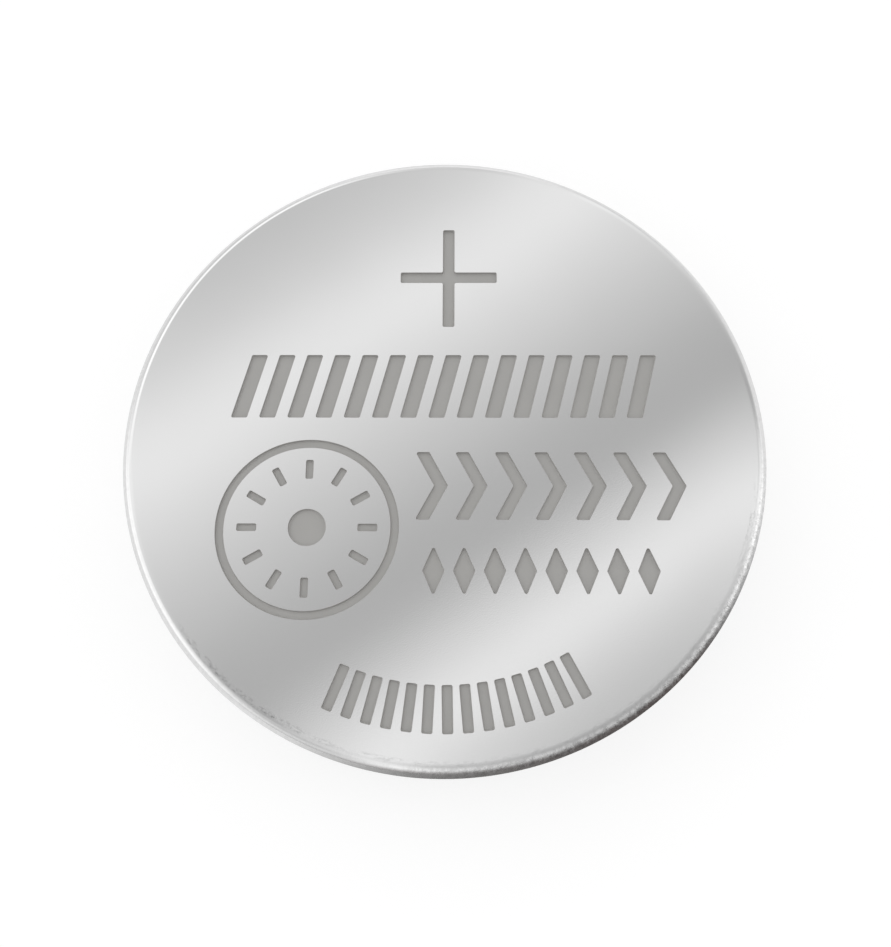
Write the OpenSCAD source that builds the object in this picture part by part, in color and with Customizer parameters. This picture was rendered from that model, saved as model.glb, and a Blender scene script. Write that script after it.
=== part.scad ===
// Lithium coin cell, 12.5 mm across and 2.0 mm high, lying on its negative cap.
// The z axis is the axis of the cell, and z = 0 is the flat of the negative contact.
// The positive can is a drawn cup, upside down here. Its mouth is rolled in over
// the gasket, which grips the skirt and the shoulder of the negative cap.
// Every turned piece is drawn as a half section, radius across and height up.

/* [Cell] */
// Diameter over the can
cell_d = 12.5; // [11.5:0.1:14]
// Height from the negative contact to the positive contact
cell_h = 2.0; // [1.7:0.05:3.2]

/* [Positive can] */
// Thickness of the can's sheet
can_sheet = 0.2; // [0.15:0.01:0.25]
// Inside radius of the bend round the positive contact
can_bend = 0.05; // [0.02:0.01:0.15]
// Inside radius of the rolled mouth
crimp_bend = 0.5; // [0.42:0.01:0.6]
// Angle through which the mouth is rolled in
crimp_turn = 75; // [65:1:85]
// How far the rolled lip reaches in from the outside of the can
crimp_reach = 0.85; // [0.75:0.05:1]

/* [Negative cap] */
// Thickness of the cap's sheet
cap_sheet = 0.2; // [0.15:0.01:0.25]
// How far the contact stands proud of the rolled lip
cap_proud = 0.1; // [0.05:0.01:0.2]
// Inside radius of the two bends of the cap's step
step_bend = 0.08; // [0.04:0.01:0.12]
// Width of the sloping wall of the step
step_slope = 0.15; // [0.08:0.01:0.25]
// Open groove between the gasket's free edge and the step
step_gap = 0.1; // [0.08:0.01:0.2]

/* [Gasket] */
// Thickness of the gasket's walls
gasket_wall = 0.2; // [0.15:0.01:0.25]
// Thickness of the gasket's foot under the skirt's edge
gasket_foot = 0.25; // [0.2:0.01:0.35]
// Width of the gasket that shows past the rolled lip
gasket_show = 0.2; // [0.1:0.01:0.3]
// Height of the gasket's inner wall below the foot
gasket_lip = 0.45; // [0.3:0.01:0.6]
// Clearance between the skirt and the gasket's inner wall
groove_gap = 0.02; // [0.01:0.005:0.04]

/* [Lithium anode] */
// Clearance between the lithium disc and the bend of the cap's pan
anode_gap = 0.15; // [0.1:0.05:0.5]

/* [Separator] */
// Thickness of the separator
separator_t = 0.12; // [0.08:0.01:0.16]
// Clearance between the separator's rim and the gasket's inner wall
separator_gap = 0.1; // [0.05:0.01:0.15]

/* [Cathode] */
// Clearance between the cathode pellet and the gasket's inner wall
cathode_gap = 0.6; // [0.45:0.05:1]
// Bevel round the pressed pellet's edges
cathode_bevel = 0.06; // [0.02:0.01:0.1]
// Thickness of the collector grid
collector_t = 0.05; // [0.03:0.01:0.08]
// Margin of the pellet outside the collector grid
collector_margin = 0.5; // [0.2:0.05:1.5]
// Length of one diamond opening of the grid
mesh_long = 1.1; // [0.8:0.05:1.6]
// Width of one diamond opening of the grid
mesh_short = 0.6; // [0.4:0.05:1]
// Width of the grid's strands
strand_w = 0.16; // [0.1:0.01:0.3]

/* [Hidden] */
bend_steps = 10;
$fn = 96;

can_r = cell_d / 2;
can_in_r = can_r - can_sheet;
ceiling_z = cell_h - can_sheet;

// The rolled lip slopes down to its edge, and the seal and the cap follow it
lip_rise = 1 / tan(crimp_turn);
lip_r = can_r - crimp_reach;
can_corner = [can_r, cap_proud + crimp_reach * lip_rise];
can_path = [[lip_r, cap_proud], can_corner, [can_r, cell_h], [0, cell_h]];

// Gasket: its outer face is the can's inner face, from its free edge to the foot
seal_corner = mitre(can_path[0], can_corner, can_path[2], can_sheet);
seal_edge_r = lip_r - gasket_show;
seal_edge = [seal_edge_r, seal_corner.y - (seal_corner.x - seal_edge_r) * lip_rise];

// Cap: its shoulder and skirt lie against the gasket's inner face
cap_corner = mitre(seal_edge, seal_corner, [can_in_r, ceiling_z], gasket_wall);
skirt_r = cap_corner.x;
skirt_top = ceiling_z - gasket_foot;
step_r = seal_edge_r - step_gap;
step_corner = [step_r, cap_corner.y - (skirt_r - step_r) * lip_rise];
contact_corner = [step_r - step_slope, 0];
cap_path = [[0, 0], contact_corner, step_corner, cap_corner, [skirt_r, skirt_top]];
skirt_bend = crimp_bend - gasket_wall - cap_sheet;

gasket_in_r = skirt_r - cap_sheet - groove_gap - gasket_wall;
gasket_lip_z = skirt_top - gasket_lip;

// The lithium fills the cap's pan, up to the inside of the shoulder
pan_floor = mitre(cap_path[0], contact_corner, step_corner, cap_sheet);
pan_brim = mitre(contact_corner, step_corner, cap_corner, cap_sheet);
pan_turn = turn_at(cap_path[0], contact_corner, step_corner);
anode_r = pan_floor.x - step_bend * tan(pan_turn / 2) - anode_gap;
anode_t = pan_brim.y - cap_sheet;

// The separator lies on the lithium, and its rim lies up the shoulder
separator_r = gasket_in_r - separator_gap;
separator_rim = [separator_r, pan_brim.y + (separator_r - pan_brim.x) * lip_rise];
separator_top = pan_brim.y + separator_t;

// The cathode and its grid take the height that is left
cathode_r = gasket_in_r - cathode_gap;
collector_r = cathode_r - collector_margin;
collector_z = ceiling_z - collector_t;
mesh_pitch_x = mesh_long + strand_w * norm([mesh_long, mesh_short]) / mesh_short;
mesh_pitch_y = mesh_short + strand_w * norm([mesh_long, mesh_short]) / mesh_long;
mesh_columns = floor(collector_r / mesh_pitch_x * 2);
mesh_rows = floor(collector_r / mesh_pitch_y * 2);

function unit(v) = v / norm(v);
function left_of(v) = [-v.y, v.x];

// Signed angle by which a path turns at its corner b
function turn_at(a, b, c) = atan2(cross(b - a, c - b), (b - a) * (c - b));

// Corner b of a path, moved by t to the left of both its legs
function mitre(a, b, c, t) =
    b + t * left_of(unit(b - a)) - t * tan(turn_at(a, b, c) / 2) * unit(b - a);

// Points of the round with radius r in place of corner b
function corner_round(a, b, c, r) =
    let (
        turn = turn_at(a, b, c),
        start = b - unit(b - a) * r * tan(abs(turn) / 2),
        hub = start + sign(turn) * r * left_of(unit(b - a)),
        from = atan2(start.y - hub.y, start.x - hub.x)
    )
    r == 0 ? [b] : [
        for (i = [0:bend_steps])
            let (angle = from + turn * i / bend_steps)
            hub + r * [cos(angle), sin(angle)]
    ];

// A path with each of its corners rounded to its own radius
function rounded(path, radii) = [
    path[0],
    for (i = [1:len(path) - 2])
        each corner_round(path[i - 1], path[i], path[i + 1], radii[i - 1]),
    path[len(path) - 1]
];

// The path's other face, t to its left
function other_face(path, t) =
    let (last = len(path) - 1)
    [
        path[0] + t * left_of(unit(path[1] - path[0])),
        for (i = [1:last - 1]) mitre(path[i - 1], path[i], path[i + 1], t),
        path[last] + t * left_of(unit(path[last] - path[last - 1]))
    ];

function backwards(points) = [for (i = [len(points) - 1:-1:0]) points[i]];

// Section of a sheet of thickness t along a path. The bends are inside radii.
function sheet_section(path, t, bends) =
    let (
        left_turn = [
            for (i = [1:len(path) - 2]) turn_at(path[i - 1], path[i], path[i + 1]) > 0
        ],
        near = [for (i = [0:len(bends) - 1]) left_turn[i] ? bends[i] + t : bends[i]],
        far = [for (i = [0:len(bends) - 1]) left_turn[i] ? bends[i] : bends[i] + t]
    )
    concat(rounded(path, near), backwards(rounded(other_face(path, t), far)));

module turned(section) {
    rotate_extrude()
        polygon(section);
}

module positive_can() {
    color("#c9c8c5")
        turned(sheet_section(can_path, can_sheet, [crimp_bend, can_bend]));
}

module gasket() {
    outside = [
        seal_edge,
        seal_corner,
        [can_in_r, ceiling_z],
        [gasket_in_r, ceiling_z],
        [gasket_in_r, gasket_lip_z]
    ];
    groove_r = gasket_in_r + gasket_wall;
    inside = [
        seal_edge + gasket_wall * left_of(unit(seal_corner - seal_edge)),
        cap_corner,
        [skirt_r, skirt_top],
        [groove_r, skirt_top],
        [groove_r, gasket_lip_z]
    ];
    color("#e9e4d6")
        turned(concat(
            rounded(outside, [crimp_bend, can_bend, 0]),
            backwards(rounded(inside, [crimp_bend - gasket_wall, 0, 0]))
        ));
}

module negative_cap() {
    color("#bfbebb")
        turned(sheet_section(cap_path, cap_sheet, [step_bend, step_bend, skirt_bend]));
}

module lithium_anode() {
    color("#a9adb3")
        translate([0, 0, cap_sheet])
        cylinder(r = anode_r, h = anode_t);
}

module separator() {
    path = [[0, pan_brim.y], pan_brim, separator_rim];
    color("#f4f2ec")
        turned(sheet_section(path, separator_t, [0]));
}

module cathode_pellet() {
    color("#2b2a2c")
        turned([
            [0, separator_top],
            [cathode_r - cathode_bevel, separator_top],
            [cathode_r, separator_top + cathode_bevel],
            [cathode_r, collector_z - cathode_bevel],
            [cathode_r - cathode_bevel, collector_z],
            [0, collector_z]
        ]);
}

module diamond() {
    polygon([
        [-mesh_long / 2, 0],
        [0, -mesh_short / 2],
        [mesh_long / 2, 0],
        [0, mesh_short / 2]
    ]);
}

module cathode_collector() {
    color("#8f9194")
        translate([0, 0, collector_z])
        linear_extrude(collector_t)
        difference() {
            circle(r = collector_r);
            // Every second opening of each row, so that the rows interlock
            for (column = [-mesh_columns:mesh_columns], row = [-mesh_rows:mesh_rows]) {
                place = [column * mesh_pitch_x / 2, row * mesh_pitch_y / 2];
                inside = norm(place) + mesh_long / 2 + strand_w < collector_r;
                if ((column + row) % 2 == 0 && inside)
                    translate(place)
                    diamond();
            }
        }
}

positive_can();
gasket();
negative_cap();
lithium_anode();
separator();
cathode_pellet();
cathode_collector();
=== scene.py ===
import math

import bmesh
import bpy
from mathutils import Matrix, Vector
from mathutils.geometry import delaunay_2d_cdt


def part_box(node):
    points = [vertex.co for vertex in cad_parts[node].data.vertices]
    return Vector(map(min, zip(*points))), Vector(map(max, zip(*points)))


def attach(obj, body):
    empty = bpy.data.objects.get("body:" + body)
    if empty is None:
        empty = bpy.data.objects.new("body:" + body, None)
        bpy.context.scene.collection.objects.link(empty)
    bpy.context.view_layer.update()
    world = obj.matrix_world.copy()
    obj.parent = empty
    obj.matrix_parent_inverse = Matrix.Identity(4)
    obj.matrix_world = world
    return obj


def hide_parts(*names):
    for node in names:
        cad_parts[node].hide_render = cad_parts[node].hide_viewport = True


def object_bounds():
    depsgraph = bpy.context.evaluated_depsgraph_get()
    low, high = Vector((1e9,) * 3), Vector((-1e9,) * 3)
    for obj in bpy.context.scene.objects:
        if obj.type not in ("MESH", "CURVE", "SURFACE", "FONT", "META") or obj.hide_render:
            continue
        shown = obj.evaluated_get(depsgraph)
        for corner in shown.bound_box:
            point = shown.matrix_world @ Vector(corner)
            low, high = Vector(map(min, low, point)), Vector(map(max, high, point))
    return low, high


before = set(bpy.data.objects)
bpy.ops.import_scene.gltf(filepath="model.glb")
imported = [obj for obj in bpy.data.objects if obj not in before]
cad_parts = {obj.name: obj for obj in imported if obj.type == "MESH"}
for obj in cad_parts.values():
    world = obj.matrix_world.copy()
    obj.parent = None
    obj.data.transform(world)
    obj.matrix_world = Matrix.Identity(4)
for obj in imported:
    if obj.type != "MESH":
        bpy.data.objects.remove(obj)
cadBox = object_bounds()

mm = 0.001
nearAxis = 1e-6                 # mm from the axis that still count as on it
samePoint = 1e-7                # mm
weldWithin = 2e-8               # metres
shellSlot, markSlot = 0, 1      # materials of the can's mesh

# Turned sheet parts, in mm. The outside sizes come from the frame.
cell = {
    "canSheet": 0.2,
    "canBend": 0.05,            # inside radius round the positive face
    "crimpBend": 0.5,
    "crimpTurn": 75.0,
    "crimpReach": 0.85,
    "capSheet": 0.2,
    "stepBend": 0.08,
    "stepSlope": 0.15,
    "stepGap": 0.1,
    "gasketWall": 0.2,
    "gasketFoot": 0.25,
    "gasketShow": 0.2,
    "gasketLip": 0.45,
    "grooveGap": 0.02,
    "bendSteps": 20,
    "segments": 360,
    "creaseAngle": 25.0,        # corners of a section that are sharper than this stay sharp
}


# One socket of a node tree. Sums on it add Math nodes, and node() adds any other node.
class Flow:
    def __init__(self, tree, socket=None):
        self.tree = tree
        self.socket = socket

    def node(self, kind, settings=(), inputs=(), out=0):
        made = self.tree.nodes.new("ShaderNode" + kind)
        for name, value in dict(settings).items():
            if name == "stops":
                ramp = made.color_ramp
                while len(ramp.elements) < len(value):
                    ramp.elements.new(1.0)
                for element, (position, level) in zip(ramp.elements, value):
                    element.position = position
                    element.color = (level, level, level, 1.0)
            elif name == "smooth":
                made.color_ramp.interpolation = value
            else:
                setattr(made, name, value)
        for slot, value in dict(inputs).items():
            if isinstance(value, Flow):
                self.tree.links.new(value.socket, made.inputs[slot])
            else:
                made.inputs[slot].default_value = value
        if made.outputs:
            return Flow(self.tree, made.outputs[out])

    def pick(self, name):
        return Flow(self.tree, self.socket.node.outputs[name])

    def maths(self, operation, *terms):
        return self.node("Math", {"operation": operation}, dict(enumerate(terms)))

    def __add__(self, other):
        return self.maths("ADD", self, other)

    def __sub__(self, other):
        return self.maths("SUBTRACT", self, other)

    def __rsub__(self, other):
        return self.maths("SUBTRACT", other, self)

    def __mul__(self, other):
        return self.maths("MULTIPLY", self, other)

    def __truediv__(self, other):
        return self.maths("DIVIDE", self, other)

    def __rtruediv__(self, other):
        return self.maths("DIVIDE", other, self)

    def __pow__(self, other):
        return self.maths("POWER", self, other)

    __radd__ = __add__
    __rmul__ = __mul__

    def step(self, low, high):      # rises smoothly from 0 at low to 1 at high
        settings = {"interpolation_type": "SMOOTHSTEP"}
        return self.node("MapRange", settings, {"Value": self, "From Min": low, "From Max": high})

    def mix(self, first, second):   # colours, with this value as the factor
        settings = {"data_type": "RGBA"}
        return self.node("Mix", settings, {0: self, 6: first, 7: second}, out=2)

    def scaled(self, factors):
        return self.node("VectorMath", {"operation": "MULTIPLY"}, {0: self, 1: factors})

    def noise(self, scale, detail=2.0, roughness=0.5):
        inputs = {"Vector": self, "Scale": scale, "Detail": detail, "Roughness": roughness}
        return self.node("TexNoise", (), inputs)


# Outline work, in mm and in the plane

def turnAt(a, b, c):            # how far a path turns at b, to the left
    before, after = b - a, c - b
    return math.atan2(before.x * after.y - before.y * after.x, before.dot(after))


def leftOf(direction):
    return Vector((-direction.y, direction.x))


def moved(a, b, c, distance):   # corner b, moved to the left of both its legs
    along = (b - a).normalized()
    return b + leftOf(along) * distance - along * distance * math.tan(turnAt(a, b, c) / 2)


def cornerRound(a, b, c, radius, steps):
    if radius <= 0:
        return [b]
    turn = turnAt(a, b, c)
    along = (b - a).normalized()
    start = b - along * radius * math.tan(abs(turn) / 2)
    hub = start + leftOf(along) * math.copysign(radius, turn)
    first = math.atan2(start.y - hub.y, start.x - hub.x)
    angles = [first + turn * i / steps for i in range(steps + 1)]
    return [hub + radius * Vector((math.cos(angle), math.sin(angle))) for angle in angles]


def roundedPath(path, radii):
    points = [path[0]]
    for a, b, c, radius in zip(path, path[1:], path[2:], radii):
        points += cornerRound(a, b, c, radius, cell["bendSteps"])
    return points + [path[-1]]


def otherFace(path, sheet):
    ends = [leftOf((b - a).normalized()) * sheet for a, b in (path[:2], path[-2:])]
    corners = [moved(a, b, c, sheet) for a, b, c in zip(path, path[1:], path[2:])]
    return [path[0] + ends[0]] + corners + [path[-1] + ends[1]]


def sheetFaces(path, sheet, bends):     # both faces of a bent sheet; bends are inside radii
    lefts = [turnAt(a, b, c) > 0 for a, b, c in zip(path, path[1:], path[2:])]
    near = [bend + sheet if left else bend for bend, left in zip(bends, lefts)]
    far = [bend if left else bend + sheet for bend, left in zip(bends, lefts)]
    return roundedPath(path, near), roundedPath(otherFace(path, sheet), far)


def circle(centre, radius, count):
    angles = [2 * math.pi * i / count for i in range(count)]
    return [centre + radius * Vector((math.cos(angle), math.sin(angle))) for angle in angles]


# Mesh work

def turned(mesh, section):      # turns a path of (radius, height) about the z axis
    count = cell["segments"]
    rings = []
    for point in section:
        if point.x < nearAxis:
            rings.append([mesh.verts.new((0, 0, point.y * mm))])
            continue
        ring = circle(Vector((0, 0)), point.x, count)
        rings.append([mesh.verts.new((p.x * mm, p.y * mm, point.y * mm)) for p in ring])
    for lower, upper in zip(rings, rings[1:]):
        for i in range(count):
            j = (i + 1) % count
            corners = [lower[i % len(lower)], lower[j % len(lower)],
                       upper[j % len(upper)], upper[i % len(upper)]]
            face = mesh.faces.new(list(dict.fromkeys(corners)))
            face.smooth = True
    for a, ring, b, c in zip(section, rings[1:], section[1:], section[2:]):
        if abs(turnAt(a, b, c)) > math.radians(cell["creaseAngle"]) and len(ring) > 1:
            for i in range(count):
                mesh.edges.get((ring[i], ring[(i + 1) % count])).smooth = False


def plate(mesh, outline, holes, height, slot):  # flat sheet inside a loop, less its holes
    points, loops = [], []
    for loop in [outline] + holes:
        loops.append(list(range(len(points), len(points) + len(loop))))
        points += loop
    found, _, faces, _, _, inside = delaunay_2d_cdt(points, [], loops, 1, samePoint)
    corners = [mesh.verts.new((p.x * mm, p.y * mm, height * mm)) for p in found]
    for face, parents in zip(faces, inside):
        if list(parents) == [0]:
            made = mesh.faces.new([corners[i] for i in face])
            made.smooth = False
            made.material_index = slot
    for corner in corners:
        if not corner.link_faces:
            mesh.verts.remove(corner)


def finished(mesh, name, materials, nodes):
    bmesh.ops.remove_doubles(mesh, verts=mesh.verts, dist=weldWithin)
    bmesh.ops.recalc_face_normals(mesh, faces=mesh.faces)
    data = bpy.data.meshes.new(name)
    mesh.to_mesh(data)
    mesh.free()
    for material in materials:
        data.materials.append(material)
    piece = bpy.data.objects.new(name, data)
    bpy.context.scene.collection.objects.link(piece)
    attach(piece, "root")
    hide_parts(*nodes)
    print(name, len(data.polygons), "faces")


# Finishes

def newMaterial(name):
    material = bpy.data.materials.new(name)
    material.use_nodes = True
    return material, Flow(material.node_tree), material.node_tree.nodes["Principled BSDF"]


def give(flow, shader, **values):       # sets or links the shader's sockets
    for name, value in values.items():
        slot = shader.inputs[name.replace("_", " ")]
        if isinstance(value, Flow):
            flow.tree.links.new(value.socket, slot)
        else:
            slot.default_value = value


def placeOnPiece(flow):                 # millimetres, fixed to the piece
    return flow.node("TexCoord", out="Object").scaled((1 / mm,) * 3)


def roundTheAxis(place):                # distance from the axis, angle in degrees, and height
    parts = place.node("SeparateXYZ", (), {0: place})
    x, y = parts.pick("X"), parts.pick("Y")
    angle = x.maths("ARCTAN2", y, x) * (180 / math.pi)
    return (x * x + y * y) ** 0.5, angle, parts.pick("Z")


def sector(angle, middle, half, soft):  # 1 within half degrees of the middle, round the circle
    past = angle - middle + 540
    away = past.maths("FLOORED_MODULO", past, 360.0) - 180
    return 1 - away.maths("ABSOLUTE", away).step(half - soft, half + soft)


def bump(height, strength, distance):
    return height.node("Bump", (), {"Height": height, "Strength": strength, "Distance": distance * mm})


def multiplied(flow, first, second, share=1.0):     # two colours
    settings = {"data_type": "RGBA", "blend_type": "MULTIPLY"}
    return flow.node("Mix", settings, {0: share, 6: first, 7: second}, out=2)


# In these dictionaries a noise is given by its scale, detail and roughness, a mask by the two
# levels between which it rises, and a relief by its strength and its depth in mm.

canLook = {
    "colour": (0.80, 0.80, 0.80, 1.0),
    "rough": 0.085,
    "rim": 6.25,                # mm, to unroll the rim
    "clouds": (0.45, 2.0, 0.5),
    "cloudDepth": 0.04,
    "grain": (38.0, 2.0, 0.6),
    "grainDepth": 0.03,
    "grainRough": 0.07,
    "grainHeight": 0.25,
    "relief": (0.4, 0.004),
    # dull flecks at the foot of the bend, in mm from the axis and up. A side is the middle, half
    # width and softness of a sector in degrees, and here also its share of the flecks.
    "scuffs": 1.0,
    "scuffsBegin": (5.93, 5.99),
    "scuffsEnd": (6.03, 6.08),
    "scuffsUp": (1.7, 1.9),
    "scuffSides": [(-129, 14, 6, 1.0), (-19, 6, 4, 0.35), (-72, 42, 12, 0.25)],
    "scuffStretch": 2.2,
    "patches": (2.2, 3.0, 0.7),
    "patchMask": (0.38, 0.56),
    "flecks": (8.5, 3.0, 0.7),
    "fleckMask": (0.4, 0.66),
    "scuffDepth": 0.5,
    "scuffRough": 0.2,
    "scuffHeight": 0.12,
    # the mottled bend
    "wornBegins": (6.04, 6.11),
    "wornUp": (1.62, 1.76),
    "wornSide": (-52, 36, 22),
    "wornElsewhere": 0.12,
    "spots": (9.0, 4.0, 0.75),
    "strokes": (11.0, 3.0, 0.7),
    "strokeStretch": (0.6, 0.4),    # outwards and up
    "wornMask": (0.42, 0.62),
    "spotShare": 0.45,
    "wornDepth": 0.31,
    "wornRough": 0.2,
    "wornHeight": 1.7,
    # the drawn wall, whose darker colour is painted shade
    "lines": (13.0, 3.0, 0.6),
    "lineStretch": (0.5, 0.08),     # outwards and up
    "linesBegin": (6.1, 6.18),
    "lineDepth": 0.16,
    "lineRough": 0.2,
    "lineHeight": 0.6,
    "wallBegins": (5.0, 5.3),
    "wallEnds": (1.6, 1.8),
    # how much darker the wall's colour is painted, as shade
    "paintedWallShade": 0.24,
}
capLook = dict(canLook, colour=(0.76, 0.755, 0.745, 1.0), rough=0.16, scuffs=0.0)


def satinSteel(name, look):
    material, flow, shader = newMaterial(name)
    place = placeOnPiece(flow)
    radius, angle, z = roundTheAxis(place)
    roundRim = angle * math.radians(look["rim"])        # mm along the rim
    clouds = place.noise(*look["clouds"])
    grain = place.noise(*look["grain"])

    # Dull flecks at the foot of the bend, in patches along the rim
    unrolled = flow.node("CombineXYZ", (), {"X": roundRim, "Y": radius * look["scuffStretch"]})
    patches = unrolled.noise(*look["patches"]).step(*look["patchMask"])
    flecks = unrolled.noise(*look["flecks"]).step(*look["fleckMask"])
    band = radius.step(*look["scuffsBegin"]) * (1 - radius.step(*look["scuffsEnd"]))
    sides = sum(sector(angle, *side) * share for *side, share in look["scuffSides"])
    scuffs = band * z.step(*look["scuffsUp"]) * sides * patches * flecks * look["scuffs"]

    # Pressing and handling leave the bend mottled: spots are darker and strokes are duller
    elsewhere, spotShare = look["wornElsewhere"], look["spotShare"]
    bend = radius.step(*look["wornBegins"]) * z.step(*look["wornUp"])
    bend = bend * (sector(angle, *look["wornSide"]) * (1 - elsewhere) + elsewhere)
    outwards, up = look["strokeStretch"]
    pressed = flow.node("CombineXYZ", (), {"X": roundRim, "Y": radius * outwards, "Z": z * up})
    spots = place.noise(*look["spots"]).step(*look["wornMask"])
    strokes = pressed.noise(*look["strokes"]).step(*look["wornMask"])
    worn = bend * (spots * spotShare + strokes * (1 - spotShare))

    # Drawing leaves fine upright lines on the wall, which make it duller than the face; the wall's darker
    # colour is painted shade
    outwards, up = look["lineStretch"]
    drawn = flow.node("CombineXYZ", (), {"X": roundRim, "Y": radius * outwards, "Z": z * up})
    lines = drawn.noise(*look["lines"]) * radius.step(*look["linesBegin"])
    wall = radius.step(*look["wallBegins"]) * (1 - z.step(*look["wallEnds"]))

    plain = 1 - (look["cloudDepth"] + look["grainDepth"]) / 2
    tone = clouds * look["cloudDepth"] + grain * look["grainDepth"] + plain
    tone = tone - scuffs * look["scuffDepth"] - bend * spots * look["wornDepth"]
    # painted shade: the wall's colour darker than the face's
    tone = tone - lines * look["lineDepth"] - wall * look["paintedWallShade"]
    rough = look["rough"] + grain * look["grainRough"] + scuffs * look["scuffRough"]
    rough = rough + bend * strokes * look["wornRough"] + lines * look["lineRough"]
    height = grain * look["grainHeight"] - scuffs * look["scuffHeight"]
    height = height + worn * look["wornHeight"] + lines * look["lineHeight"]
    give(flow, shader, Base_Color=multiplied(flow, look["colour"], tone), Metallic=1.0,
         Roughness=rough, Normal=bump(height, *look["relief"]))
    return material


markLook = {
    "dark": (0.455, 0.449, 0.436, 1.0),
    "light": (0.535, 0.528, 0.513, 1.0),
    "clouds": (1.6, 3.0),
    "grain": (24.0, 4.0, 0.65),
    "metal": 0.6,
    "rough": 0.6,
    "grainRough": 0.1,
    "relief": (0.35, 0.004),
}


def markSteel(look):                    # the coined floor of the marks: matt and warm grey
    material, flow, shader = newMaterial("markSteel")
    place = placeOnPiece(flow)
    grain = place.noise(*look["grain"])
    clouds = place.noise(*look["clouds"])
    colour = ((grain + clouds) * 0.5).mix(look["dark"], look["light"])
    give(flow, shader, Base_Color=colour, Metallic=look["metal"],
         Roughness=look["rough"] + grain * look["grainRough"], Normal=bump(grain, *look["relief"]))
    return material


gasketLook = {
    "dark": (0.70, 0.66, 0.56, 1.0),
    "light": (0.84, 0.81, 0.73, 1.0),
    "clouds": (1.2, 3.0),
    "fine": (30.0, 3.0),
    "rough": 0.36,
    "fineRough": 0.16,
    "relief": (0.2, 0.004),
    "milky": 0.15,              # share of the light that goes into the plastic
    "milkyDepth": 0.3,          # mm
}


def gasketPlastic(look):
    material, flow, shader = newMaterial("gasketPlastic")
    place = placeOnPiece(flow)
    clouds = place.noise(*look["clouds"])
    fine = place.noise(*look["fine"])
    give(flow, shader, Base_Color=clouds.mix(look["dark"], look["light"]),
         Roughness=look["rough"] + fine * look["fineRough"], Normal=bump(fine, *look["relief"]),
         Subsurface_Weight=look["milky"], Subsurface_Scale=look["milkyDepth"] * mm)
    return material


lithiumLook = {
    "bright": (0.62, 0.64, 0.67, 1.0),
    "dull": (0.46, 0.46, 0.5, 1.0),
    "film": (0.7, 4.0, 0.6),
    "filmMask": (0.35, 0.7),
    "rolled": (1.4, 4.0),
    "rolledAlong": (1.0, 14.0, 1.0),
    "metal": 0.9,
    "rough": 0.34,
    "filmRough": 0.25,
    "relief": (0.3, 0.006),
}


def lithiumFoil(look):
    material, flow, shader = newMaterial("lithiumFoil")
    place = placeOnPiece(flow)
    rolled = place.scaled(look["rolledAlong"]).noise(*look["rolled"])
    film = place.noise(*look["film"])
    colour = film.step(*look["filmMask"]).mix(look["bright"], look["dull"])
    give(flow, shader, Base_Color=colour, Metallic=look["metal"],
         Roughness=look["rough"] + film * look["filmRough"], Normal=bump(rolled, *look["relief"]))
    return material


separatorLook = {
    "dark": (0.74, 0.73, 0.70, 1.0),
    "light": (0.92, 0.915, 0.89, 1.0),
    "fibres": (1.0, 5.0, 0.7),
    "warp": (16.0, 2.4, 4.0),
    "weft": (2.4, 16.0, 4.0),
    "fibreMask": (0.4, 0.75),
    "rough": 0.85,
    "relief": (0.6, 0.02),
}


def separatorFleece(look):
    material, flow, shader = newMaterial("separatorFleece")
    place = placeOnPiece(flow)
    warp, weft = [place.scaled(look[way]).noise(*look["fibres"]) for way in ("warp", "weft")]
    fibres = warp.maths("MAXIMUM", warp, weft)
    colour = fibres.step(*look["fibreMask"]).mix(look["dark"], look["light"])
    give(flow, shader, Base_Color=colour, Roughness=look["rough"], Normal=bump(fibres, *look["relief"]))
    return material


cathodeLook = {
    "dark": (0.012, 0.012, 0.013, 1.0),
    "light": (0.06, 0.058, 0.056, 1.0),
    "clouds": (2.0, 5.0, 0.65),
    "grainScale": 14.0,
    "rough": 0.62,
    "cloudRough": 0.25,
    "relief": (0.4, 0.012),
}


def cathodeMix(look):
    material, flow, shader = newMaterial("cathodeMix")
    place = placeOnPiece(flow)
    grains = place.node("TexVoronoi", (), {"Vector": place, "Scale": look["grainScale"]})
    clouds = place.noise(*look["clouds"])
    give(flow, shader, Base_Color=clouds.mix(look["dark"], look["light"]),
         Roughness=look["rough"] + clouds * look["cloudRough"], Normal=bump(grains, *look["relief"]))
    return material


collectorLook = {
    "dark": (0.46, 0.455, 0.45, 1.0),
    "light": (0.6, 0.6, 0.605, 1.0),
    "drawn": (1.0, 4.0),
    "drawnAlong": (3.0, 22.0, 1.0),
    "rough": 0.3,
    "drawnRough": 0.2,
    "relief": (0.3, 0.004),
}


def collectorSteel(look):
    material, flow, shader = newMaterial("collectorSteel")
    drawn = placeOnPiece(flow).scaled(look["drawnAlong"]).noise(*look["drawn"])
    give(flow, shader, Base_Color=drawn.mix(look["dark"], look["light"]), Metallic=1.0,
         Roughness=look["rough"] + drawn * look["drawnRough"], Normal=bump(drawn, *look["relief"]))
    return material


# The studio: a dome with two long soft lights, a white floor and a low dark card

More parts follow.
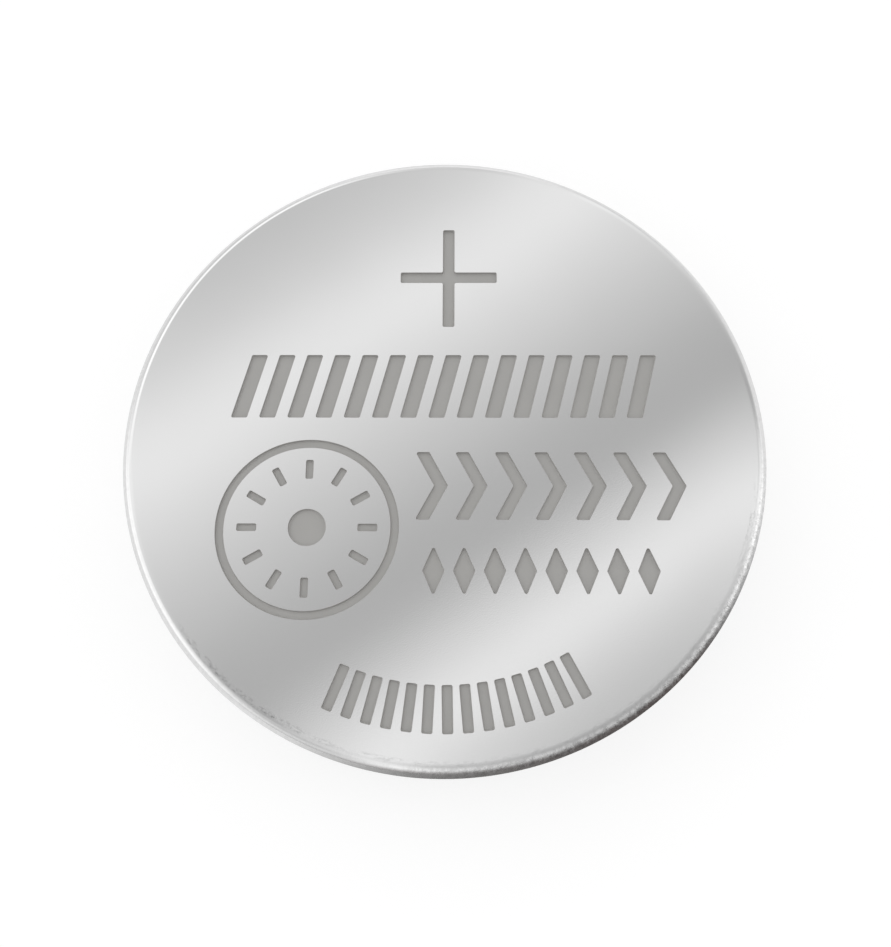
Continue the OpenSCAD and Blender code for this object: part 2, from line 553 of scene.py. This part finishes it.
studio = {
    "mirrorTilt": 18.8,         # from upright to the middle of what the face mirrors
    "bandTurn": 123.0,          # direction across the light bands, on the face
    "reach": 6.0,               # mm on the face, on both sides of its middle
    "farthest": 130,            # degrees from the mirror's middle
    "brightest": 1.25,          # top of the scale on which the levels lie
    "lowest": 0.05,             # flatter directions take the place on the face of this one
    # brightness along the bands' direction, by mm on the face
    "bands": [(-6.0, 0.60), (-5.2, 0.76), (-4.2, 1.09), (-3.2, 0.79), (-2.2, 0.46), (-1.2, 0.53),
              (0.0, 0.67), (1.2, 0.81), (2.0, 0.92), (2.75, 1.06), (3.6, 0.94), (4.6, 0.75), (6.0, 0.63)],
    # further out the bands go over into this, by the angle from the mirror's middle
    "bandsEnd": (48, 66),
    "upper": [(0, 0.70), (54, 0.74), (64, 0.82), (72, 0.96), (84, 1.18), (104, 1.08), (130, 1.0)],
    # soft lights that only the bend mirrors, and two dark ones: the middle, half width and softness
    # round the mirror's axis, the angles from it between which they come and go, and the level
    "glows": [((136, 34, 16), (22, 34), (44, 54), 0.62),
              ((-170, 26, 14), (42, 56), (74, 86), 0.35),
              ((-1, 9, 8), (36, 50), (130, 140), 0.3),
              ((90, 20, 14), (46, 58), (130, 140), 0.3),
              ((-13, 9, 9), (56, 66), (84, 96), 0.2),
              ((-13, 9, 9), (24, 32), (44, 54), -0.1),
              ((-122, 14, 12), (56, 72), (130, 140), -0.33)],
    "horizon": (0.07, 0.16, 0.24),      # the strip that is dimmer, up to these heights, and how much
    # share of the bands that is left on the dim side
    "lower": [(0, 1.0), (22, 1.0), (32, 0.84), (42, 0.80), (54, 0.96), (66, 1.12), (76, 1.02), (88, 0.62),
              (98, 0.38), (117, 0.24), (130, 0.2)],
    "lowerSide": (-68, 40, 14),
    "lowerTint": (1.0, 0.94, 0.935, 1.0),
    "tintBegins": (80, 104),
}


def levels(flow, place, first, last, stops):    # brightness by a place between first and last
    stops = [((at - first) / (last - first), level / studio["brightest"]) for at, level in stops]
    share = (place - first) / (last - first)
    return flow.node("ValToRGB", {"stops": stops, "smooth": "EASE"}, {0: share}) * studio["brightest"]


def domeLight():
    world = bpy.data.worlds.new("dome")
    bpy.context.scene.world = world
    world.use_nodes = True
    flow = Flow(world.node_tree)
    way = flow.node("TexCoord", out="Generated")
    parts = flow.node("SeparateXYZ", (), {0: way})
    x, y, z = parts.pick("X"), parts.pick("Y"), parts.pick("Z")

    # Where on the face the photograph's camera sees this direction
    camera = bpy.context.scene.camera.matrix_world.translation / mm
    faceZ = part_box("positive_can")[1][2] / mm
    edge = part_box("positive_can")[1][0] / mm - cell["canSheet"] - cell["canBend"]
    height = camera.z - faceZ
    over = z.maths("MAXIMUM", z, studio["lowest"])
    faceX = x / over * height + camera.x
    faceY = y / over * height + camera.y
    across = math.radians(studio["bandTurn"])
    spread = (faceX * faceX + faceY * faceY) ** 0.5
    held = edge / spread.maths("MAXIMUM", spread, edge)
    along = (faceX * math.cos(across) + faceY * math.sin(across)) * held
    bands = levels(flow, along, -studio["reach"], studio["reach"], studio["bands"])

    tilt = math.radians(studio["mirrorTilt"])
    towards = y * math.sin(tilt) + z * math.cos(tilt)
    aside = y * math.cos(tilt) - z * math.sin(tilt)
    away = towards.maths("ARCCOSINE", towards) * (180 / math.pi)
    turn = x.maths("ARCTAN2", aside, x) * (180 / math.pi)
    upper, lower = [levels(flow, away, 0, studio["farthest"], studio[half]) for half in ("upper", "lower")]
    bright = bands + (upper - bands) * away.step(*studio["bandsEnd"])
    for side, comes, goes, level in studio["glows"]:
        bright = bright + sector(turn, *side) * away.step(*comes) * (1 - away.step(*goes)) * level
    low, high, dimmer = studio["horizon"]
    bright = bright * (1 - (1 - z.step(low, high)) * dimmer)
    dim = sector(turn, *studio["lowerSide"])
    light = bright + (bands * lower - bright) * dim
    light = multiplied(flow, light, studio["lowerTint"], dim * away.step(*studio["tintBegins"]))
    seen = flow.node("LightPath", out="Is Camera Ray")
    give(flow, world.node_tree.nodes["Background"], Color=seen.mix(light, (1.0, 1.0, 1.0, 1.0)))
    print("dome ready")


floorLook = {
    "size": 600.0,              # mm
    "white": 0.96,
    "glow": 1.15,
    "glowSeen": 0.65,           # share of the glow in what the camera sees
    "glowMirrored": 0.6,        # and in what metal mirrors
    "farSide": (80, 84, 16),    # direction in which mirrors show it greyer, away from the cell
    "farFrom": (7.2, 9.5),      # mm from the axis
    "farDepth": 0.04,
    # a painted contact shadow under the cell, which only mirrors see: where it lies and how dark
    "paintedShadowWithin": (5.9, 7.0),    # mm within which mirrors show it darker
    "paintedShadowDepth": 0.7,
}


def bareMaterial(name):
    material = bpy.data.materials.new(name)
    material.use_nodes = True
    material.node_tree.nodes.clear()
    return material, Flow(material.node_tree)


def studioFloor():
    bpy.ops.mesh.primitive_plane_add(size=floorLook["size"] * mm)
    floor = bpy.context.object
    floor.name = "studioFloor"
    material, flow = bareMaterial("paleFloor")
    seen = flow.node("LightPath", out="Is Camera Ray")
    mirrored = seen.pick("Is Glossy Ray")
    through = seen.pick("Is Transmission Ray")
    white = floorLook["white"]
    matt = flow.node("BsdfDiffuse", (), {"Color": (white, white, white, 1.0)})
    radius, angle, _ = roundTheAxis(placeOnPiece(flow))
    greyAndShadow = radius.step(*floorLook["farFrom"]) * sector(angle, *floorLook["farSide"]) * floorLook["farDepth"]
    # painted contact shadow under the cell, seen only in mirrors
    greyAndShadow = greyAndShadow + (1 - radius.step(*floorLook["paintedShadowWithin"])) * floorLook["paintedShadowDepth"]
    tone = (greyAndShadow * mirrored).mix((1.0, 1.0, 1.0, 1.0), (0.0, 0.0, 0.0, 1.0))
    glow = flow.node("Emission", (), {"Color": tone, "Strength": floorLook["glow"]})
    share = seen * floorLook["glowSeen"] + (mirrored + through) * floorLook["glowMirrored"]
    both = flow.node("MixShader", (), {0: share, 1: matt, 2: glow})
    flow.node("OutputMaterial", (), {"Surface": both})
    floor.data.materials.append(material)


cardLook = {
    "inner": 6.6,               # mm
    "outer": 30.0,
    "rise": 5.0,
    "lean": 2.0,
    "height": 0.03,
    "covered": (-66, 44, 20),   # the side that it covers, in degrees
    "paper": (0.155, 0.142, 0.139, 1.0),
    # its darkest part, and its paler ends
    "tones": [((-48, 10, 10), (0.125, 0.107, 0.103, 1.0)),
              ((-100, 18, 20), (0.262, 0.258, 0.256, 1.0)),
              ((-20, 10, 12), (0.15, 0.148, 0.147, 1.0))],
}


def darkCard():         # a low dark card round the front right, which only the metal mirrors
    inner, outer, height = cardLook["inner"], cardLook["outer"], cardLook["height"]
    top = Vector((outer + cardLook["lean"], cardLook["rise"]))
    mesh = bmesh.new()
    turned(mesh, [Vector((inner, height)), Vector((outer, height)), top])
    data = bpy.data.meshes.new("darkCard")
    mesh.to_mesh(data)
    mesh.free()
    piece = bpy.data.objects.new("darkCard", data)
    bpy.context.scene.collection.objects.link(piece)
    material, flow = bareMaterial("darkPaper")
    _, angle, _ = roundTheAxis(placeOnPiece(flow))
    tone = cardLook["paper"]
    for side, colour in cardLook["tones"]:
        tone = sector(angle, *side).mix(tone, colour)
    clear = flow.node("BsdfTransparent")
    paper = flow.node("Emission", (), {"Color": tone})
    both = flow.node("MixShader", (), {0: sector(angle, *cardLook["covered"]), 1: clear, 2: paper})
    flow.node("OutputMaterial", (), {"Surface": both})
    data.materials.append(material)
    piece.visible_camera = False
    piece.visible_diffuse = False
    piece.visible_shadow = False
    piece.visible_transmission = False


# The photograph's view, worked out from the outline of the cell and the edge of its face
view = {
    "imageWidth": 891,
    "imageHeight": 947,
    "distance": 19.8,           # mm from the middle of the cell
    "elevation": 72.2,
    "roll": 2.0,
    "focalPixels": 976.0,
    "axisPixel": (444.1, 454.05),   # where the lens axis meets the picture
    "sensor": 36.0,
    "nearest": 1.0,             # mm
    "farthest": 2000.0,
}


def photographCamera():
    tilt = math.radians(90 - view["elevation"])
    roll = math.radians(view["roll"])
    back = Vector((0, -math.sin(tilt), math.cos(tilt)))
    across, up = Vector((1, 0, 0)), Vector((0, math.cos(tilt), math.sin(tilt)))
    right = across * math.cos(roll) - up * math.sin(roll)
    over = across * math.sin(roll) + up * math.cos(roll)
    data = bpy.data.cameras.new("photographCamera")
    data.sensor_width = view["sensor"]
    data.lens = view["focalPixels"] * view["sensor"] / view["imageHeight"]
    data.shift_x = (view["imageWidth"] / 2 - view["axisPixel"][0]) / view["imageHeight"]
    data.shift_y = (view["axisPixel"][1] - view["imageHeight"] / 2) / view["imageHeight"]
    data.clip_start = view["nearest"] * mm
    data.clip_end = view["farthest"] * mm
    piece = bpy.data.objects.new("photographCamera", data)
    middle = Vector((0, 0, (cadBox[0][2] + cadBox[1][2]) / 2))
    turn = Matrix((right, over, back)).transposed().to_4x4()
    piece.matrix_world = Matrix.Translation(middle + back * view["distance"] * mm) @ turn
    bpy.context.scene.collection.objects.link(piece)
    bpy.context.scene.camera = piece
    bpy.context.view_layer.update()


# The marks of the face, in mm

marks = {
    "turn": -2.2,               # degrees, from the frame's x axis to the rows of marks
    "depth": 0.05,
    "lip": 0.007,               # round at the top of each wall
    "draft": 0.006,
    "fillet": 0.010,            # round at the foot of each wall
    "corner": 0.035,
    "cornerSteps": 5,
    "lipSteps": 4,
    "hubSegments": 72,
    "ringSegments": 180,
    "plus": {"middle": (0.086, 3.456), "wide": 1.96, "tall": 2.2, "stroke": 0.24},
    "ring": {"middle": (-2.561, -1.771), "radius": 1.735, "stroke": 0.165, "ticks": 12,
             "tickFrom": 0.95, "tickTo": 1.33, "tickWide": 0.15, "hub": 0.36},
    "stripes": {"from": -4.1, "to": 4.15, "low": 0.42, "high": 1.745, "count": 15,
                "wide": 0.32, "lean": 0.34},
    "chevrons": {"from": -0.6, "to": 4.68, "low": -1.62, "high": -0.278, "count": 7,
                 "wide": 0.27, "point": 0.36},
    "lozenges": {"from": -0.46, "to": 4.1, "low": -3.07, "high": -2.10, "count": 8, "wide": 0.42},
    "fan": {"from": -114.0, "to": -60.0, "inner": 4.65, "outer": 5.5, "count": 14, "wide": 0.2},
}


def loopRounded(corners, radius, inset):    # closed outline, counter-clockwise, moved inwards
    count = len(corners)
    around = [(corners[i - 1], corners[i], corners[(i + 1) % count]) for i in range(count)]
    placed = [moved(a, b, c, inset) for a, b, c in around]
    points = []
    for i in range(count):
        left = turnAt(*around[i]) > 0
        own = radius - inset if left else radius + inset
        points += cornerRound(placed[i - 1], placed[i], placed[(i + 1) % count], own,
                              marks["cornerSteps"])
    return points


def barMark(corners):
    corners = [Vector(corner) for corner in corners]
    return lambda inset: [loopRounded(corners, marks["corner"], inset)]


def discMark(middle, radius):
    return lambda inset: [circle(Vector(middle), radius - inset, marks["hubSegments"])]


def ringMark(middle, outer, inner):
    return lambda inset: [circle(Vector(middle), radius, marks["ringSegments"])
                          for radius in (outer - inset, inner + inset)]


def evenly(first, last, count):
    return [first + (last - first) * (i + 0.5) / count for i in range(count)]


def plusMark():
    spec = marks["plus"]
    (x, y), half = spec["middle"], spec["stroke"] / 2
    wide, tall = spec["wide"] / 2, spec["tall"] / 2
    quarter = [(wide, -half), (wide, half), (half, half), (half, tall)]
    corners = quarter + [(-a, b) for a, b in reversed(quarter)]
    corners += [(-a, -b) for a, b in quarter[2:]] + [(a, -b) for a, b in reversed(quarter[2:])]
    return [barMark([(x + a, y + b) for a, b in corners])]


def dialMark():
    spec = marks["ring"]
    middle = Vector(spec["middle"])
    found = [ringMark(middle, spec["radius"], spec["radius"] - spec["stroke"]),
             discMark(middle, spec["hub"])]
    half = spec["tickWide"] / 2
    for i in range(spec["ticks"]):
        turn = Matrix.Rotation(2 * math.pi * i / spec["ticks"], 2)
        box = [(spec["tickFrom"], -half), (spec["tickTo"], -half),
               (spec["tickTo"], half), (spec["tickFrom"], half)]
        found.append(barMark([middle + turn @ Vector(corner) for corner in box]))
    return found


def stripeMarks():
    spec = marks["stripes"]
    half, lean = spec["wide"] / 2, spec["lean"] / 2
    return [barMark([(x - lean - half, spec["low"]), (x - lean + half, spec["low"]),
                     (x + lean + half, spec["high"]), (x + lean - half, spec["high"])])
            for x in evenly(spec["from"], spec["to"], spec["count"])]


def chevronMarks():
    spec = marks["chevrons"]
    middle = (spec["low"] + spec["high"]) / 2
    found = []
    for x in evenly(spec["from"], spec["to"], spec["count"]):
        back, front = x - spec["point"] / 2, x + spec["point"] / 2
        found.append(barMark([
            (back - spec["wide"] / 2, spec["low"]), (back + spec["wide"] / 2, spec["low"]),
            (front + spec["wide"] / 2, middle), (back + spec["wide"] / 2, spec["high"]),
            (back - spec["wide"] / 2, spec["high"]), (front - spec["wide"] / 2, middle)]))
    return found


def lozengeMarks():
    spec = marks["lozenges"]
    middle = (spec["low"] + spec["high"]) / 2
    return [barMark([(x, spec["low"]), (x + spec["wide"] / 2, middle),
                     (x, spec["high"]), (x - spec["wide"] / 2, middle)])
            for x in evenly(spec["from"], spec["to"], spec["count"])]


def fanMarks():
    spec = marks["fan"]
    found = []
    half = spec["wide"] / 2
    for angle in evenly(spec["from"], spec["to"], spec["count"]):
        turn = Matrix.Rotation(math.radians(angle), 2)
        box = [(spec["inner"], -half), (spec["outer"], -half),
               (spec["outer"], half), (spec["inner"], half)]
        found.append(barMark([turn @ Vector(corner) for corner in box]))
    return found


def sunkMark(mesh, mark, top):      # lip, wall, foot and floor of one mark
    lip, fillet, steps = marks["lip"], marks["fillet"], marks["lipSteps"]
    quarter = [math.pi / 2 * i / steps for i in range(steps + 1)]
    profile = [(lip * math.sin(a), lip * (1 - math.cos(a))) for a in quarter]
    foot = lip + marks["draft"]
    profile += [(foot + fillet * (1 - math.cos(a)), marks["depth"] - fillet * (1 - math.sin(a)))
                for a in quarter]
    loops = []
    for inset, depth in profile:
        loops.append([[mesh.verts.new((p.x * mm, p.y * mm, (top - depth) * mm)) for p in loop]
                      for loop in mark(inset)])
    for upper, lower in zip(loops, loops[1:]):
        for above, below in zip(upper, lower):
            for i in range(len(above)):
                j = (i + 1) % len(above)
                face = mesh.faces.new((above[i], above[j], below[j], below[i]))
                face.smooth = True
                face.material_index = markSlot
    last = mark(profile[-1][0])
    plate(mesh, last[0], last[1:], top - marks["depth"], markSlot)


def faceMarks():
    turn = Matrix.Rotation(math.radians(marks["turn"]), 2)
    found = plusMark() + dialMark() + stripeMarks() + chevronMarks() + lozengeMarks() + fanMarks()
    return [lambda inset, mark=mark: [[turn @ p for p in loop] for loop in mark(inset)]
            for mark in found]


# The turned pieces

def cellShapes():       # corners of the three sheet sections, from the frame's own sizes
    low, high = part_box("positive_can")
    canR, top, lipZ = high[0] / mm, high[2] / mm, low[2] / mm
    rise = 1 / math.tan(math.radians(cell["crimpTurn"]))
    lipR = canR - cell["crimpReach"]
    can = [Vector((lipR, lipZ)), Vector((canR, lipZ + cell["crimpReach"] * rise)),
           Vector((canR, top)), Vector((0, top))]
    inner = otherFace(can, cell["canSheet"])
    seal = inner[1]
    sealR = lipR - cell["gasketShow"]
    edge = Vector((sealR, seal.y - (seal.x - sealR) * rise))
    corner = moved(edge, seal, inner[2], cell["gasketWall"])
    skirtTop = inner[2].y - cell["gasketFoot"]
    stepR = sealR - cell["stepGap"]
    cap = [Vector((0, 0)), Vector((stepR - cell["stepSlope"], 0)),
           Vector((stepR, corner.y - (corner.x - stepR) * rise)), corner, Vector((corner.x, skirtTop))]
    return {"can": can, "inner": inner, "edge": edge, "cap": cap}


def insideLoop(point, loop):
    crossings = 0
    for a, b in zip(loop, loop[1:] + loop[:1]):
        if (a.y > point.y) != (b.y > point.y):
            if point.x < a.x + (point.y - a.y) * (b.x - a.x) / (b.y - a.y):
                crossings += 1
    return crossings % 2 == 1


def canShell(steel, markFloor):
    can = cellShapes()["can"]
    outside, inside = sheetFaces(can, cell["canSheet"], [cell["crimpBend"], cell["canBend"]])
    rim, top = outside[-2], can[2].y
    mesh = bmesh.new()
    turned(mesh, list(reversed(inside)) + outside[:-1])
    found = faceMarks()
    holes = [loop for mark in found for loop in mark(0)[:1]]
    islands = [loop for mark in found for loop in mark(0)[1:]]
    plate(mesh, circle(Vector((0, 0)), rim.x, cell["segments"]), holes, top, shellSlot)
    for island in islands:      # the face goes on inside the ring
        within = [loop for loop in holes if insideLoop(loop[0], island)]
        plate(mesh, island, within, top, shellSlot)
    for mark in found:
        sunkMark(mesh, mark, top)
    finished(mesh, "canShell", [steel, markFloor], ["positive_can"])


def capShell(steel):
    cap = cellShapes()["cap"]
    skirtBend = cell["crimpBend"] - cell["gasketWall"] - cell["capSheet"]
    bends = [cell["stepBend"], cell["stepBend"], skirtBend]
    outside, inside = sheetFaces(cap, cell["capSheet"], bends)
    mesh = bmesh.new()
    turned(mesh, outside + list(reversed(inside)))
    finished(mesh, "capShell", [steel], ["negative_cap"])


def sealRing(plastic):
    shapes = cellShapes()
    inner, edge, cap = shapes["inner"], shapes["edge"], shapes["cap"]
    skirtR, skirtTop = cap[4]
    innerR = skirtR - cell["capSheet"] - cell["grooveGap"] - cell["gasketWall"]
    ceiling, lipZ = inner[2].y, skirtTop - cell["gasketLip"]
    grooveR = innerR + cell["gasketWall"]
    outside = [edge, inner[1], inner[2], Vector((innerR, ceiling)), Vector((innerR, lipZ))]
    inside = [edge + leftOf((inner[1] - edge).normalized()) * cell["gasketWall"], cap[3],
              Vector((skirtR, skirtTop)), Vector((grooveR, skirtTop)), Vector((grooveR, lipZ))]
    section = roundedPath(outside, [cell["crimpBend"], cell["canBend"], 0])
    section += reversed(roundedPath(inside, [cell["crimpBend"] - cell["gasketWall"], 0, 0]))
    mesh = bmesh.new()
    turned(mesh, section + section[:1])
    finished(mesh, "sealRing", [plastic], ["gasket"])


def dressNode(name, material):
    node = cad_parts[name]
    node.data.materials.clear()
    node.data.materials.append(material)


photographCamera()
domeLight()
studioFloor()
darkCard()
bpy.context.scene.view_settings.view_transform = "Standard"
print("studio ready")

canShell(satinSteel("canSteel", canLook), markSteel(markLook))
capShell(satinSteel("capSteel", capLook))
sealRing(gasketPlastic(gasketLook))
dressNode("lithium_anode", lithiumFoil(lithiumLook))
dressNode("separator", separatorFleece(separatorLook))
dressNode("cathode_pellet", cathodeMix(cathodeLook))
dressNode("cathode_collector", collectorSteel(collectorLook))
print("cell ready")
